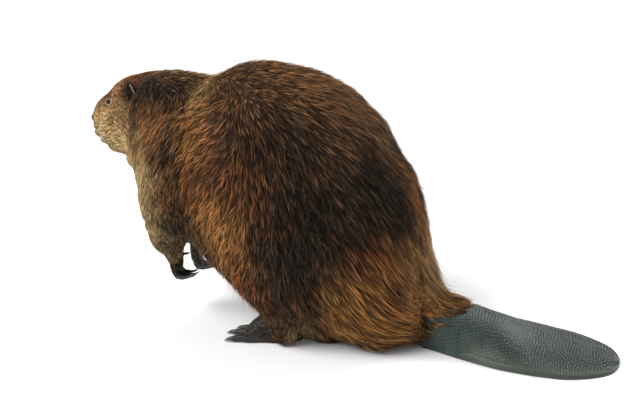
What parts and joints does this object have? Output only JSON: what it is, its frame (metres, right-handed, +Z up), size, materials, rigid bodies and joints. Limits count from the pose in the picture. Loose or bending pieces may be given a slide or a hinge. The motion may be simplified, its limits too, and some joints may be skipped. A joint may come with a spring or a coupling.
{
  "type": "beaver",
  "caption": "Life-size beaver propped on its webbed hind feet and flat scaly tail, forepaws hanging at its chest, head turned slightly to its right.",
  "frame": {"origin": "on the floor, under the middle of the bounding box", "axes": "the animal faces -X, its left side is towards -Y, and +Z is up"},
  "size_m": [0.8556, 0.2954, 0.4067],
  "materials": {
    "head_fur": "short dense fur, yellowish tan with a reddish brown forehead",
    "nose_skin": "bare dark skin, slightly moist",
    "eye": "dark glossy eye",
    "ear_skin": "thin dark skin with very short hair",
    "body_fur": "long dark chocolate brown guard hair with golden brown tips at the shoulder and flank",
    "rump_fur": "long golden to reddish brown guard hair, darker above",
    "leg_fur": "dark brown guard hair, shorter than on the body",
    "paw_skin": "dark grainy skin with dark claws",
    "tail_scales": "slate grey-green scaly skin, slightly glossy"
  },
  "bodies": {
    "root": {"head": "head_fur", "nose": "nose_skin", "eye_left": "eye", "eye_right": "eye", "ear_left": "ear_skin", "ear_right": "ear_skin", "neck": "body_fur", "torso": "body_fur", "rump": "rump_fur", "tail_root": "rump_fur", "tail": "tail_scales", "foreleg_left": "leg_fur", "foreleg_right": "leg_fur", "forepaw_left": "paw_skin", "forepaw_right": "paw_skin", "hind_leg_left": "leg_fur", "hind_leg_right": "leg_fur", "hind_foot_left": "paw_skin", "hind_foot_right": "paw_skin"}
  },
  "joints": []
}
